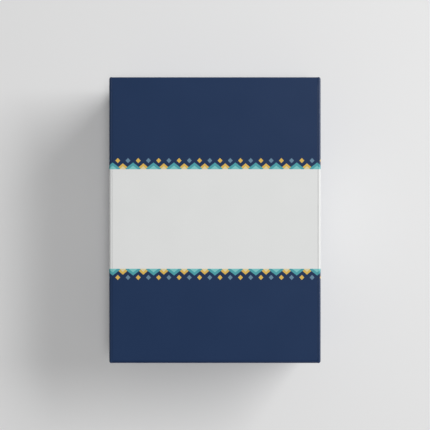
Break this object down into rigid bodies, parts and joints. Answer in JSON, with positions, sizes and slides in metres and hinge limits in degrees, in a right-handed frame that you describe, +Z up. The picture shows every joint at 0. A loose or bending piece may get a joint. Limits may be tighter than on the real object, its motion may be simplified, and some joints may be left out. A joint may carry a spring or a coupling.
{
  "type": "mailer box",
  "caption": "Flat rectangular roll end mailer box of printed micro flute board, navy with a white band, with a rear hinged tuck lid.",
  "frame": {"origin": "centre of the closed box's bounding box on its underside", "axes": "+Z up out of the closed lid, +Y along the long side towards the rear hinge fold, +X along the short side"},
  "size_m": [0.2, 0.27, 0.08],
  "materials": {
    "printed_board": "micro flute board, matt coated print in navy with a white band outside, plain white liner inside",
    "printed_lid_board": "micro flute board, matt coated print in navy with a white band and two geometric borders, plain white liner inside"
  },
  "bodies": {
    "tray": {"tray": "printed_board"},
    "lid": {"lid": "printed_lid_board"}
  },
  "joints": [
    {"name": "lid_hinge", "type": "hinge", "parent": "tray", "child": "lid", "pos_m": [0, 0.13515, 0.07865], "axis": [-1, 0, 0], "range_deg": [0, 180]}
  ]
}
